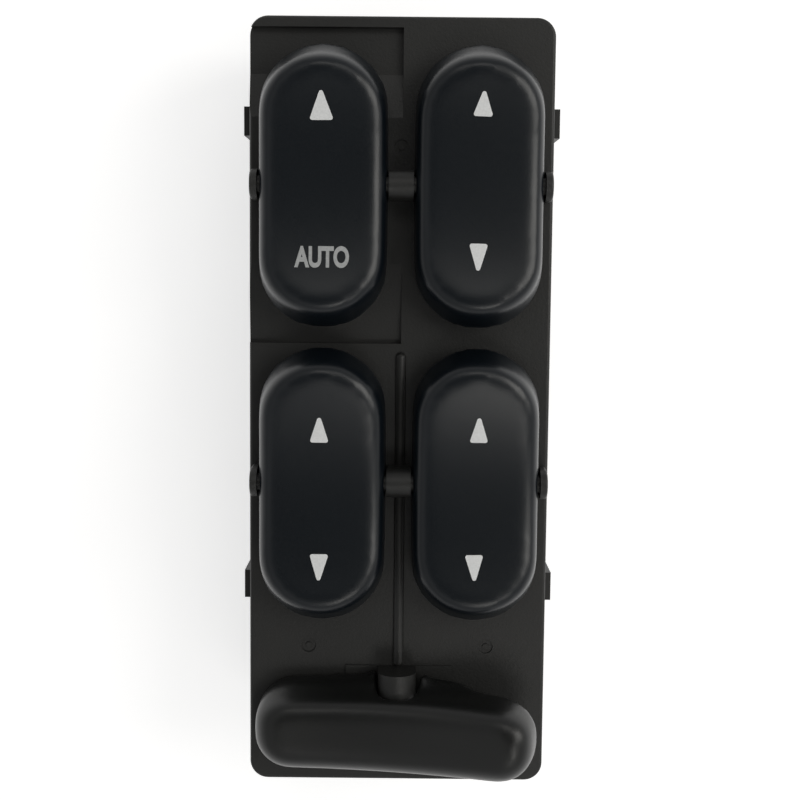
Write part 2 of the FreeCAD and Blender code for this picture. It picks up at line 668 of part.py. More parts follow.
def build_lower_housing():
    """Case floor and walls, connector shroud, board posts and latch loops."""
    body = new_body("lower_housing")
    outline = sketch_on(body, "case_outline", "XY_Plane", d.floor_height)
    rounded_outline(outline, half_width, half_length, d.plate_corner)
    pad(body, "case_block", outline, d.split_height - d.floor_height)
    low = number(d.floor_height)
    round_edges(body, "case_edge", d.case_edge_round, lambda e: lies_between(e, low - 0.01, low + 0.01))
    cavity = sketch_on(body, "case_cavity_outline", "XY_Plane", d.split_height)
    rounded_outline(cavity, half_width - d.case_wall, half_length - d.case_wall, d.plate_corner - d.case_wall / 2)
    pocket(body, "case_cavity", cavity, d.split_height - floor_top)
    lip = sketch_on(body, "lip_outline", "XY_Plane", d.split_height - 0.5)
    lip_inset = d.case_wall / 2 + d.lap_gap
    rounded_outline(lip, half_width - lip_inset, half_length - lip_inset, d.plate_corner - lip_inset)
    rounded_outline(lip, half_width - d.case_wall, half_length - d.case_wall, d.plate_corner - d.case_wall / 2)
    pad(body, "lip", lip, d.lap_height + 0.5 - d.lap_gap)

    shroud = sketch_on(body, "shroud_outline", "XY_Plane")
    inner_x = d.shroud_width / 2
    inner_y = d.shroud_length / 2
    rounded_outline(shroud, inner_x + d.shroud_wall, inner_y + d.shroud_wall, d.shroud_wall * 1.5)
    rounded_outline(shroud, inner_x, inner_y, d.shroud_wall * 0.5)
    pad(body, "shroud", shroud, d.floor_height)
    keys = sketch_on(body, "key_outline", "XY_Plane", d.blade_tip)
    key_half = d.key_width / 2
    rectangles(keys, [
        (-key_half, key_half, inner_y - d.key_depth, inner_y + 0.2),
        (-key_half, key_half, -inner_y - 0.2, -inner_y + d.key_depth),
    ])
    pad(body, "keys", keys, d.floor_height - d.blade_tip)
    catch_root = inner_x + d.shroud_wall
    box(body, "plug_catch", (catch_root, catch_root + d.plug_catch_depth), (-d.plug_catch_half, d.plug_catch_half),
        (d.plug_catch_low, d.plug_catch_high))
    floor_ribs = sketch_on(body, "floor_rib_outline", "XY_Plane", d.floor_height - d.floor_rib_height)
    rib_end = half_width - d.floor_rib_inset
    rib_half = d.floor_rib_width / 2
    rectangles(floor_ribs, [(-rib_end, rib_end) + around(half_length * share, rib_half)
                            for share in FLOOR_RIB_SHARES])
    pad(body, "floor_ribs", floor_ribs, d.floor_rib_height)

    blade_slots = sketch_on(body, "blade_slot_outline", "XY_Plane", floor_top)
    rectangles(blade_slots, [around(x, d.blade_thickness / 2) + around(y, d.blade_width / 2)
                             for x, y, index in terminal_places()])
    pocket(body, "blade_slots", blade_slots, d.floor_thickness)
    posts = sketch_on(body, "board_post_outline", "XY_Plane", floor_top - 0.5)
    circles(posts, [(x, y) for x, y, has_pin in post_places()], d.post_radius)
    pad(body, "board_posts", posts, d.post_height + 0.5)
    locators = sketch_on(body, "locator_outline", "XY_Plane", board_bottom - 0.5)
    circles(locators, [(x, y) for x, y, has_pin in post_places() if has_pin], d.locator_radius)
    pad(body, "locators", locators, d.board_thickness + 1.2)

    arm_low = d.floor_height + d.latch_root_low
    inner = half_width + d.latch_gap
    outer = inner + d.latch_thickness
    ends = [around(y, d.latch_width / 2) for y in LATCH_PLACES.values()]
    arms = sketch_on(body, "latch_arm_outline", "XY_Plane", arm_low)
    rectangles(arms, [side + end for side in ((inner, outer), (-outer, -inner)) for end in ends])
    pad(body, "latch_arms", arms, d.latch_top - arm_low)
    roots = sketch_on(body, "latch_root_outline", "XY_Plane", arm_low)
    root_start = half_width - 0.5
    rectangles(roots, [side + end for side in ((root_start, outer), (-outer, -root_start)) for end in ends])
    pad(body, "latch_roots", roots, d.split_height - 1.0 - arm_low)
    window_top = d.latch_top - d.latch_bar
    window_half = d.catch_width / 2 + 0.2
    for side_name, start in (("left", -outer - 0.1), ("right", inner - 0.1)):
        windows = sketch_on(body, side_name + "_window_outline", "YZ_Plane", start)
        rectangles(windows, [around(y, window_half) + (window_top - d.catch_height - 0.5, window_top)
                             for y in LATCH_PLACES.values()])
        pocket(body, side_name + "_windows", windows, d.latch_thickness + 0.2, reversed_way=True)
    return body


def terminal_places():
    """Centre of each terminal in plan, with its number."""
    places = []
    for row_sign in (-1, 1):
        for i in range(terminal_rows):
            y = d.terminal_pitch * (i - (terminal_rows - 1) / 2)
            places.append((terminal_x * row_sign, y, len(places) + 1))
    return places


def post_places():
    """Board posts in plan; two of them carry a locating pin."""
    x = half_width - d.case_wall - d.post_radius - 0.8
    return [
        (x, half_length * 0.9, True),
        (-x, half_length * 0.9, False),
        (x, half_length * 0.0, False),
        (-x, half_length * 0.0, False),
        (x, half_length * -0.9, False),
        (-x, half_length * -0.9, True),
    ]


def build_circuit_board():
    """Contact board with holes for the terminal tails and the locating pins."""
    body = new_body("circuit_board")
    outline = sketch_on(body, "board_outline", "XY_Plane", board_bottom)
    edge = d.case_wall + d.board_gap
    rounded_outline(outline, half_width - edge, half_length - edge, d.board_corner)
    pad(body, "board", outline, d.board_thickness)
    tail_holes = sketch_on(body, "tail_hole_outline", "XY_Plane", board_top)
    circles(tail_holes, [(x, y) for x, y, index in terminal_places()], d.tail_width * 0.71 + d.tail_gap)
    pocket(body, "tail_holes", tail_holes, d.board_thickness)
    locator_holes = sketch_on(body, "locator_hole_outline", "XY_Plane", board_top)
    circles(locator_holes, [(x, y) for x, y, has_pin in post_places() if has_pin], d.locator_radius + d.tail_gap)
    pocket(body, "locator_holes", locator_holes, d.board_thickness)
    return body


def build_terminal(x, y, index):
    """A blade for the plug with a narrower tail for the board."""
    body = new_body("terminal_%02d" % index)
    half_thick = d.blade_thickness / 2
    box(body, "blade", (-half_thick, half_thick), (-d.blade_width / 2, d.blade_width / 2), (d.blade_tip, floor_top))
    low = number(d.blade_tip)
    round_edges(body, "blade_point", d.blade_chamfer, lambda e: lies_between(e, low - 0.01, low + 0.01), chamfer=True)
    box(body, "tail", (-half_thick, half_thick), (-d.tail_width / 2, d.tail_width / 2),
        (floor_top - 0.2, board_top + d.tail_length))
    place(body, x, y, 0.0)
    return body


def loft(body, name, base, top, cut=False):
    """Join two outlines by straight walls, added or cut."""
    kind = "PartDesign::SubtractiveLoft" if cut else "PartDesign::AdditiveLoft"
    feature = body.newObject(kind, name)
    feature.Profile = base
    feature.Sections = [top]
    feature.Ruled = True
    return feature


def leaned(base, top, height, level):
    """A measure that runs straight from its base value to its top value, read at a level."""
    return base + (top - base) * level / height


def scoop_top(body, end_height, mid_height, along, half_span):
    """Scoop the cap's top with a large cylinder: the crests stay high and the middle is low."""
    sag = end_height - mid_height
    radius = (half_span * half_span + sag * sag) / (sag * 2)
    centre_z = mid_height - d.pivot_height + radius
    start = (-d.scoop_reach, 0.0, centre_z) if along == "X" else (0.0, -d.scoop_reach, centre_z)
    return cylinder(body, "scoop", along, start, d.scoop_reach * 2, radius, cut=True)


def rocker_outline(body, name, level, wall):
    """The window rocker's stadium outline at a level above the plate, inset by a wall."""
    half_length = leaned(d.rocker_length, d.rocker_top_length, d.rocker_end_height, level) / 2 - wall
    radius = leaned(d.rocker_width, d.rocker_top_width, d.rocker_end_height, level) / 2 - wall
    sketch = sketch_on(body, name, "XY_Plane", level - d.pivot_height)
    stadium_outline(sketch, half_length - radius, radius, (0.0, d.rocker_shift))
    return sketch


def lock_outline(body, name, level, wall):
    """The lock rocker's rounded outline at a level above the plate, inset by a wall."""
    half_length = leaned(d.lock_length, d.lock_top_length, d.lock_end_height, level) / 2 - wall
    half_depth = leaned(d.lock_depth, d.lock_top_depth, d.lock_end_height, level) / 2 - wall
    shift = d.lock_top_shift * level / d.lock_end_height
    radius = leaned(d.lock_corner, d.lock_top_corner, d.lock_end_height, level) - wall
    sketch = sketch_on(body, name, "XY_Plane", level - d.pivot_height)
    rounded_outline(sketch, half_length, half_depth, radius, (0.0, shift))
    return sketch


def build_window_rocker(label, x, y, side):
    """A hollow rocker with a scooped top, two bearings and the leg that works its carriage."""
    body = new_body(label)
    base_level = -d.pivot_height
    foot = rocker_outline(body, "cap_foot", Size(0.0, "0"), 0.0)
    crown = rocker_outline(body, "cap_crown", d.rocker_end_height + d.cap_spare, 0.0)
    loft(body, "cap", foot, crown)
    scoop_top(body, d.rocker_end_height, d.rocker_mid_height, "X", d.rocker_top_length / 2 - d.scoop_inset)
    middle = number(d.rocker_mid_height - d.pivot_height)
    round_edges(body, "rim_round", d.rocker_round, lambda e: e.BoundBox.ZMin > middle - 1.0)

    hollow_foot = rocker_outline(body, "hollow_foot", Size(0.0, "0"), d.rocker_wall)
    hollow_roof = rocker_outline(body, "hollow_roof", d.rocker_mid_height - d.rocker_roof, d.rocker_wall)
    loft(body, "hollow", hollow_foot, hollow_roof, cut=True)

    skirt = sketch_on(body, "skirt_profile", "YZ_Plane")
    far = d.rocker_length
    below = base_level - 1.0
    skirt_low = base_level + d.rocker_lift
    polygon(skirt, [
        (-far, below),
        (far, below),
        (far, skirt_low + far * d.rocker_rise),
        (d.boss_radius, skirt_low + d.boss_radius * d.rocker_rise),
        (-d.boss_radius, skirt_low + d.boss_radius * d.rocker_rise),
        (-far, skirt_low + far * d.rocker_rise),
    ])
    pocket(body, "skirt", skirt, d.rocker_width * 2, symmetric=True)

    ceiling = d.rocker_mid_height - d.rocker_roof - d.pivot_height
    collar_end = d.rocker_width / 2 - d.boss_overhang
    collar_length = collar_end - bearing_face
    for side_name, sign in (("left", -1), ("right", 1)):
        start = bearing_inner if sign > 0 else -bearing_face
        cylinder(body, side_name + "_bearing", "X", (start, 0.0, 0.0), d.bearing_depth, d.bearing_radius)
        start = bearing_face if sign > 0 else -collar_end
        cylinder(body, side_name + "_collar", "X", (start, 0.0, 0.0), collar_length, d.collar_radius)
    cylinder(body, "pin_bore_left", "X", (-d.rocker_width, 0.0, 0.0), d.rocker_width / 2 + d.leg_width,
             d.pin_radius + d.pin_clearance, cut=True)
    cylinder(body, "pin_bore_right", "X", (d.rocker_width / 2 - d.leg_width, 0.0, 0.0), d.rocker_width / 2,
             d.pin_radius + d.pin_clearance, cut=True)

    box(body, "leg", (-d.leg_width / 2, d.leg_width / 2), (-d.leg_thickness / 2, d.leg_thickness / 2),
        (-d.leg_length, ceiling + 0.5))
    cylinder(body, "leg_tip", "X", (-d.leg_width / 2, 0.0, -d.leg_length), d.leg_width, d.leg_tip_radius)
    lug_start = d.leg_width / 2 if side > 0 else -d.leg_width / 2 - d.lug_length
    cylinder(body, "spring_lug", "X", (lug_start, 0.0, -d.lug_drop), d.lug_length, d.lug_radius)
    place(body, x, y, pivot_level)
    return body


def build_lock_rocker():
    """The wide rocker across the rear of the plate, latched with its left end down."""
    body = new_body("lock_rocker")
    base_level = -d.pivot_height
    foot = lock_outline(body, "cap_foot", Size(0.0, "0"), 0.0)
    crown = lock_outline(body, "cap_crown", d.lock_end_height + d.cap_spare, 0.0)
    loft(body, "cap", foot, crown)
    scoop_top(body, d.lock_end_height, d.lock_mid_height, "Y", d.lock_top_length / 2 - d.scoop_inset)
    middle = number(d.lock_mid_height - d.pivot_height)
    round_edges(body, "lock_rim_round", d.lock_round, lambda e: e.BoundBox.ZMin > middle - 1.0)
    hollow_foot = lock_outline(body, "hollow_foot", Size(0.0, "0"), d.rocker_wall)
    hollow_roof = lock_outline(body, "hollow_roof", d.lock_mid_height - d.rocker_roof, d.rocker_wall)
    loft(body, "hollow", hollow_foot, hollow_roof, cut=True)

    for side_name, sign in (("left", -1), ("right", 1)):
        x = sign * (d.lock_boss_radius + d.lock_ear_radius)
        cylinder(body, side_name + "_ear", "Z", (x, d.lock_depth / 2 - d.lock_ear_inset, base_level),
                 d.lock_ear_height, d.lock_ear_radius)

    skirt = sketch_on(body, "lock_skirt_profile", "XZ_Plane")
    far = d.lock_length
    below = base_level - 1.0
    skirt_low = base_level + d.rocker_lift
    polygon(skirt, [
        (-far, below),
        (far, below),
        (far, skirt_low + far * d.lock_rise),
        (d.boss_radius, skirt_low + d.boss_radius * d.lock_rise),
        (-d.boss_radius, skirt_low + d.boss_radius * d.lock_rise),
        (-far, skirt_low + far * d.lock_rise),
    ])
    pocket(body, "lock_skirt", skirt, d.lock_depth * 2, symmetric=True)

    arch_radius = d.lock_boss_radius + d.boss_gap
    cylinder(body, "arch", "Y", (0.0, lock_boss_face, -d.lock_boss_drop), d.lock_depth / 2, arch_radius, cut=True)
    flare = arch_radius + (d.pivot_height + 1.0) * d.lock_rise
    arch_foot = sketch_on(body, "arch_foot_profile", "XZ_Plane", -lock_boss_face)
    polygon(arch_foot, [
        (-arch_radius, -d.lock_boss_drop),
        (-flare, below),
        (flare, below),
        (arch_radius, -d.lock_boss_drop),
    ])
    pocket(body, "arch_foot", arch_foot, d.lock_depth / 2)

    ceiling = d.lock_mid_height - d.rocker_roof - d.pivot_height
    for side_name, sign in (("rear", -1), ("front", 1)):
        y = d.lock_rib_offset * sign
        rib = (y - d.rocker_wall / 2, y + d.rocker_wall / 2)
        box(body, side_name + "_bearing_rib", (-d.bearing_radius, d.bearing_radius), rib, (0.0, ceiling + 0.5))
        cylinder(body, side_name + "_bearing", "Y", (0.0, rib[0], 0.0), d.rocker_wall, d.bearing_radius)
        cylinder(body, side_name + "_bore", "Y", (0.0, rib[0] - 0.1, 0.0), d.rocker_wall + 0.2,
                 d.pin_radius + d.pin_clearance, cut=True)
    box(body, "lock_leg", (-d.leg_thickness / 2, d.leg_thickness / 2), (-d.lock_leg_depth / 2, d.lock_leg_depth / 2),
        (-d.leg_length, ceiling + 0.5))
    cylinder(body, "lock_leg_tip", "Y", (0.0, -d.lock_leg_depth / 2, -d.leg_length), d.lock_leg_depth, d.leg_tip_radius)
    body.Placement = Placement(Vector(), Rotation(Vector(0, 1, 0), -d.lock_tilt.value))
    place(body, 0.0, d.lock_row, pivot_level)
    return body


def build_carriage(label, x, y, quarter_turns, fork_half):
    """A contact carriage with a fork for the leg's tip."""
    body = new_body(label)
    half = d.carriage_length / 2
    box(body, "block", (-d.carriage_width / 2, d.carriage_width / 2), (-half, half), (0.0, d.carriage_height))
    fork = d.leg_tip_radius + d.fork_gap
    box(body, "fork", (-fork_half, fork_half), (-fork, fork),
        (d.carriage_base, d.carriage_height + 1.0), cut=True)
    top = number(d.carriage_height)
    round_edges(body, "fork_edges", d.fork_chamfer, lambda e: lies_between(e, top - 0.01, top + 0.01), chamfer=True)
    body.Placement = Placement(Vector(), Rotation(Vector(0, 0, 1), 90 * quarter_turns))
    place(body, x, y, carriage_bottom)
    return body


def build_wiper(label, x, y, quarter_turns):
    """A spring strip under the carriage with two arms that reach down to the board."""
    body = new_body(label)
    profile = sketch_on(body, "wiper_profile", "YZ_Plane")
    drop = d.carriage_lift - d.wiper_gap
    flat = d.carriage_length * 0.18
    knee = d.carriage_length * 0.42
    toe = d.carriage_length * 0.48
    t = d.wiper_thickness
    polygon(profile, [
        (-flat, 0.0), (flat, 0.0), (knee, -drop + t), (toe, -drop + t * 2),
        (toe, -drop + t), (knee, -drop), (flat - t / 2, -t), (-flat + t / 2, -t),
        (-knee, -drop), (-toe, -drop + t), (-toe, -drop + t * 2), (-knee, -drop + t),
    ])
    pad(body, "strip", profile, d.wiper_width, symmetric=True)
    box(body, "split", (-0.3, 0.3), (flat + 0.3, toe + 1.0), (-drop - 1.0, 1.0), cut=True)
    box(body, "split_rear", (-0.3, 0.3), (-toe - 1.0, -flat - 0.3), (-drop - 1.0, 1.0), cut=True)
    body.Placement = Placement(Vector(), Rotation(Vector(0, 0, 1), 90 * quarter_turns))
    place(body, x, y, carriage_bottom)
    return body


def build_return_spring(label, x, y, side):
    """A torsion spring whose two arms straddle the rocker's lug."""
    radius = d.spring_radius.value
    pitch = d.spring_pitch.value
    arm = d.spring_arm.value
    width = d.spring_turns.value * pitch
    helix = Part.makeHelix(pitch, width, radius)
    helix.rotate(Vector(), Vector(0, 1, 0), 90)
    helix.rotate(Vector(), Vector(1, 0, 0), 90)
    ends = sorted((v.Point for v in helix.Vertexes), key=lambda p: p.x)
    edges = list(helix.Edges)
    for end in ends:
        edges.append(Part.makeLine(end, end + Vector(0, 0, -arm)))
    path = Part.Wire(Part.__sortEdges__(edges))
    start = min((v.Point for v in path.Vertexes), key=lambda p: (p.z, p.x))
    section = Part.Wire([Part.makeCircle(d.spring_wire.value / 2, start, Vector(0, 0, 1))])
    shape = path.makePipeShell([section], True, True)
    spring = doc.addObject("Part::Feature", label)
    spring.Label = label
    spring.Shape = shape
    root = guide_half_width - d.spring_wire / 2 - 0.2
    shift = root - width if side > 0 else -root
    place(spring, x + shift, y, spring_level)
    sub_parts.append(spring)
    return spring


def build_detent_spring():
    """A formed strip on the lock guide's wall whose bump drops beside the lock carriage."""
    body = new_body("lock_detent_spring")
    profile = sketch_on(body, "detent_profile", "XY_Plane", carriage_bottom + d.carriage_height * 0.3)
    t = d.wiper_thickness
    reach = lock_guide_half_length - 0.6
    foot = d.detent_bump * 1.7
    crown = d.detent_bump * 0.5
    polygon(profile, [
        (-reach, 0.0), (-foot, 0.0), (-crown, -d.detent_bump), (crown, -d.detent_bump), (foot, 0.0), (reach, 0.0),
        (reach, t), (foot + t / 2, t), (crown + t / 2, t - d.detent_bump), (-crown - t / 2, t - d.detent_bump),
        (-foot - t / 2, t), (-reach, t),
    ])
    pad(body, "strip", profile, d.detent_width)
    place(body, 0.0, d.lock_row + guide_half_width - t, 0.0)
    return body


def groove_for_detent(body):
    """A groove along the lock carriage with the ridge that the detent spring snaps over."""
    half = d.carriage_width / 2
    low = d.carriage_height * 0.3 - d.guide_gap
    groove_floor = half - d.detent_groove
    box(body, "groove", (groove_floor, half + 1.0), (-d.carriage_length, d.carriage_length),
        (low, low + d.detent_width + d.guide_gap * 2), cut=True)
    ridge = sketch_on(body, "ridge_profile", "XY_Plane", low)
    polygon(ridge, [
        (groove_floor - 0.2, -d.detent_bump),
        (groove_floor, -d.detent_bump),
        (groove_floor + d.detent_ridge, -0.2),
        (groove_floor + d.detent_ridge, 0.2),
        (groove_floor, d.detent_bump),
        (groove_floor - 0.2, d.detent_bump),
    ])
    pad(body, "ridge", ridge, d.detent_width + d.guide_gap * 2)


def build_relay():
    """Sealed relay that keeps the driver's window running down after one touch."""
    body = new_body("auto_down_relay")
    half = d.relay_side / 2
    box(body, "case", (-half, half), (-half, half), (0.0, d.relay_height))
    top = number(d.relay_height)
    round_edges(body, "case_edges", 0.6, lambda e: e.BoundBox.ZMax > top - 0.01)
    place(body, d.relay_x, d.relay_y, board_top)


def build_chip():
    """Control chip with its legs soldered to the board."""
    body = new_body("control_chip")
    x = d.chip_width / 2
    y = d.chip_length / 2
    box(body, "package", (-x, x), (-y, y), (0.15, d.chip_height))
    pitch = d.chip_length / 4
    for side, sign in (("left", -1), ("right", 1)):
        span = (x - 0.1, x + 1.0) if sign > 0 else (-x - 1.0, -x + 0.1)
        for i in range(4):
            middle = pitch * (i - 1.5)
            box(body, "%s_leg_%d" % (side, i), span, (middle - 0.2, middle + 0.2), (0.0, 0.35))
    place(body, d.chip_x, d.chip_y, board_top)


def build_capacitor():
    """Round can capacitor on its square base."""
    body = new_body("smoothing_capacitor")
    r = d.capacitor_radius
    box(body, "base", (-r, r), (-r, r), (0.0, 0.9))
    cylinder(body, "can", "Z", (0.0, 0.0, 0.5), d.capacitor_height - 0.5, r * 0.96)
    top = number(d.capacitor_height)
    round_edges(body, "can_edge", 0.5, lambda e: lies_between(e, top - 0.01, top + 0.01))
    place(body, d.capacitor_x, d.capacitor_y, board_top)


build_upper_housing()
build_lower_housing()
build_circuit_board()
for x, y, index in terminal_places():
    build_terminal(x, y, index)
for name, (x, y, side) in WINDOW_ROCKERS.items():
    build_window_rocker(name + "_rocker", x, y, side)
    build_carriage(name + "_carriage", x, y, 0, d.carriage_width)
    build_wiper(name + "_wiper", x, y, 0)
    build_return_spring(name + "_spring", x, y, side)
build_lock_rocker()
lock_fork_half = d.lock_leg_depth / 2 + d.fork_gap
groove_for_detent(build_carriage("lock_carriage", lock_swing, d.lock_row, 1, lock_fork_half))
build_wiper("lock_wiper", lock_swing, d.lock_row, 1)
build_detent_spring()
build_relay()
build_chip()
build_capacitor()
doc.recompute()

for obj in doc.Objects:
    if "Invalid" in obj.State or "Error" in obj.State:
        raise RuntimeError("%s failed: %s" % (obj.Label, obj.State))
os.makedirs("parts", exist_ok=True)
for part in sub_parts:
    if part.Shape.isNull() or not part.Shape.isValid():
        raise RuntimeError("%s has no valid shape" % part.Label)
    if len(part.Shape.Solids) != 1:
        raise RuntimeError("%s has %d solids" % (part.Label, len(part.Shape.Solids)))
    part.Shape.exportStep("parts/%s.step" % part.Label)
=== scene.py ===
"""Looks of the power window switch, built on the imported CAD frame."""

import math

import bmesh
import bpy
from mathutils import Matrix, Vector
from mathutils.bvhtree import BVHTree


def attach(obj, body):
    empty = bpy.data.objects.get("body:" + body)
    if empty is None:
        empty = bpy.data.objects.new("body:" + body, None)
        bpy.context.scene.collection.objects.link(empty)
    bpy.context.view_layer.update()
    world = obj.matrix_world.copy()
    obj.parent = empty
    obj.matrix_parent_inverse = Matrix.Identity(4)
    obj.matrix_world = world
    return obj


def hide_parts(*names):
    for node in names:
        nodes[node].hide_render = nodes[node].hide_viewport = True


MM = 0.001

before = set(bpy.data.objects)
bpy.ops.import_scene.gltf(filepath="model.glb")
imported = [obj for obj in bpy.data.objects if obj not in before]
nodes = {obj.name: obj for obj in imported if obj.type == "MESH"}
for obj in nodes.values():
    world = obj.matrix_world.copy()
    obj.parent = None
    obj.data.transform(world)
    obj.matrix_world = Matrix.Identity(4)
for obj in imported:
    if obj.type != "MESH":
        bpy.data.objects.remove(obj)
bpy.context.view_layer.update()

PLATE_TOP = 34.0 * MM

# Camera, at the photograph's viewing angle: its place, its turn in degrees, its focal length in pixels of an
# image IMAGE_WIDTH pixels wide, the sensor's width in millimetres, and the nearest distance that it sees
CAMERA_PLACE = (0.32 * MM, 23.0 * MM, PLATE_TOP + 220.0 * MM)
CAMERA_TURN = (-5.62, 0.11, 0.54)
CAMERA_FOCAL = 1357.0
IMAGE_WIDTH = 800.0
SENSOR = 36.0
NEAREST_SEEN = 10.0 * MM

# Studio: the sky's brightness by height, from the horizon (0) to the zenith (1), and by side, at the rear (-Y)
# and at the front (+Y); the floor's own glow where it is seen, and its half width in metres; the lamps' tint,
# and the lamps, each with its name, place and size in metres, and power in watts
SKY = ((0.0, 0.8), (0.3, 0.6), (0.6, 0.28), (0.82, 0.5), (0.91, 0.28), (0.96, 0.06))
SKY_SIDES = (1.1, 0.9)
SKY_STRENGTH = 0.95
FLOOR_GLOW = 0.57
FLOOR_SIZE = 3.0
WARM = (1.0, 0.98, 0.93)
LIGHTS = (
    ("right", (0.46, 0.12, 0.55), (0.35, 0.4), 1.4),
    ("rear", (0.16, -0.34, 0.62), (0.28, 0.16), 0.42),
    ("front", (0.03, 0.38, 0.62), (0.4, 0.16), 0.26),
)

# Softened rockers: mesh spacing, smoothing passes, the share of them that evens the lower edges, and the
# heights between which the full smoothing sets in
SKIN_SPACING = 0.42 * MM
SKIN_PASSES = 30
EVEN_SHARE = 0.3
SOFT_FROM = PLATE_TOP + 3.0 * MM
SOFT_FULL = PLATE_TOP + 6.5 * MM
WINDOW_ROCKERS = ("front_left_rocker", "front_right_rocker", "rear_left_rocker", "rear_right_rocker")
LOCK_FRONT_LEAN = 1.3 * MM

# Printed marks: how far they stand off the surface, the height above the whole part from which they are
# dropped onto it, and the radius of an arrow's corners in millimetres
MARK_LIFT = 0.05 * MM
ABOVE_ALL = 100.0 * MM
MARK_CORNER = 0.34

# Arrows: rocker, tip, middle of the foot and width of the foot, in millimetres
ARROWS = {
    "front_left_up_mark": ("front_left_rocker", (-12.40, 49.67), (-12.36, 45.40), 3.38),
    "front_right_up_mark": ("front_right_rocker", (12.57, 49.75), (12.44, 46.16), 2.77),
    "front_right_down_mark": ("front_right_rocker", (11.99, 22.45), (12.05, 26.47), 2.64),
    "rear_left_up_mark": ("rear_left_rocker", (-12.52, -0.69), (-12.55, -4.54), 2.68),
    "rear_left_down_mark": ("rear_left_rocker", (-12.51, -26.47), (-12.49, -22.55), 2.69),
    "rear_right_up_mark": ("rear_right_rocker", (12.58, -0.53), (12.56, -4.34), 2.60),
    "rear_right_down_mark": ("rear_right_rocker", (12.10, -26.31), (12.04, -22.47), 2.62),
}

# The word AUTO: rocker, lowest and highest corner in millimetres, and how much the letters are thickened
AUTO_WORD = ("front_left_rocker", (-16.46, 22.67), (-7.99, 26.04))
WORD_WEIGHT = 0.04


# Materials

BLACK = (0.0, 0.0, 0.0)
WHITE = (1.0, 1.0, 1.0)

# How fine the patterns are, in noise cells or tracks per millimetre
CLOUDS_PER_MM = 0.06
SCUFFS_PER_MM = 0.55
TRACKS_PER_MM = 0.12


class Nodes:
    """Short ways to build a material's node tree."""

    def __init__(self, name):
        self.material = bpy.data.materials.new(name)
        self.material.use_nodes = True
        self.tree = self.material.node_tree
        self.shader = self.tree.nodes["Principled BSDF"]
        self.place = self.add("ShaderNodeTexCoord").outputs["Object"]

    def add(self, kind, **settings):
        node = self.tree.nodes.new(kind)
        for key, value in settings.items():
            setattr(node, key, value)
        return node

    def link(self, source, target):
        self.tree.links.new(source, target)

    def noise(self, per_mm, detail=2.0, roughness=0.5):
        node = self.add("ShaderNodeTexNoise")
        self.link(self.place, node.inputs["Vector"])
        node.inputs["Scale"].default_value = per_mm / MM
        node.inputs["Detail"].default_value = detail
        node.inputs["Roughness"].default_value = roughness
        return node.outputs["Fac"]

    def ramp(self, source, stops):
        node = self.add("ShaderNodeValToRGB")
        elements = node.color_ramp.elements
        while len(elements) < len(stops):
            elements.new(0.5)
        for element, (position, colour) in zip(elements, stops):
            element.position = position
            element.color = colour + (1.0,)
        self.link(source, node.inputs["Fac"])
        return node.outputs["Color"]

    def span(self, source, low, high):
        node = self.add("ShaderNodeMapRange")
        node.inputs["To Min"].default_value = low
        node.inputs["To Max"].default_value = high
        self.link(source, node.inputs["Value"])
        return node.outputs["Result"]

    def mix(self, factor, a, b):
        node = self.add("ShaderNodeMix", data_type="RGBA")
        self.link(factor, node.inputs["Factor"])
        for socket, value in ((node.inputs["A"], a), (node.inputs["B"], b)):
            if isinstance(value, tuple):
                socket.default_value = value + (1.0,)
            else:
                self.link(value, socket)
        return node.outputs["Result"]

    def bump(self, height, depth_mm):
        node = self.add("ShaderNodeBump")
        node.inputs["Distance"].default_value = depth_mm * MM
        self.link(height, node.inputs["Height"])
        self.link(node.outputs["Normal"], self.shader.inputs["Normal"])


def moulded(name, dark, light, roughness, grain, grain_depth, worn=None):
    """Moulded plastic: cloudy tone, fine grain (grains per mm, depth in mm) and, if asked for, scuffs."""
    n = Nodes(name)
    tone = n.ramp(n.noise(CLOUDS_PER_MM, 3.0), ((0.35, dark), (0.68, light)))
    if worn:
        scuffs = n.ramp(n.noise(SCUFFS_PER_MM, 6.0, 0.7), ((0.66, BLACK), (0.74, WHITE)))
        tone = n.mix(scuffs, tone, worn)
    n.link(tone, n.shader.inputs["Base Color"])
    grain_noise = n.noise(grain, 3.0)
    n.link(n.span(grain_noise, roughness - 0.06, roughness + 0.08), n.shader.inputs["Roughness"])
    n.bump(grain_noise, grain_depth)
    return n.material


def metal(name, dark, light, roughness, scratch):
    """Bare or plated metal with drawn lines and a slightly uneven tone."""
    n = Nodes(name)
    n.link(n.ramp(n.noise(0.4, 4.0), ((0.3, dark), (0.7, light))), n.shader.inputs["Base Color"])
    n.shader.inputs["Metallic"].default_value = 1.0
    lines = n.add("ShaderNodeTexWave", bands_direction="Z")
    n.link(n.place, lines.inputs["Vector"])
    lines.inputs["Scale"].default_value = scratch / MM
    lines.inputs["Distortion"].default_value = 6.0
    n.link(n.span(lines.outputs["Fac"], roughness - 0.07, roughness + 0.1), n.shader.inputs["Roughness"])
    n.bump(lines.outputs["Fac"], 0.004)
    return n.material


def board_lacquer():
    """Green solder mask over faint copper tracks."""
    n = Nodes("board_lacquer")
    tracks = n.add("ShaderNodeTexBrick")
    n.link(n.place, tracks.inputs["Vector"])
    tracks.inputs["Scale"].default_value = TRACKS_PER_MM / MM
    tracks.inputs["Mortar Size"].default_value = 0.04
    tracks.inputs["Color1"].default_value = (0.006, 0.09, 0.035, 1.0)
    tracks.inputs["Color2"].default_value = (0.008, 0.11, 0.045, 1.0)
    tracks.inputs["Mortar"].default_value = (0.02, 0.2, 0.08, 1.0)
    n.link(tracks.outputs["Color"], n.shader.inputs["Base Color"])
    n.link(n.span(n.noise(0.5), 0.22, 0.34), n.shader.inputs["Roughness"])
    n.bump(tracks.outputs["Fac"], 0.03)
    return n.material


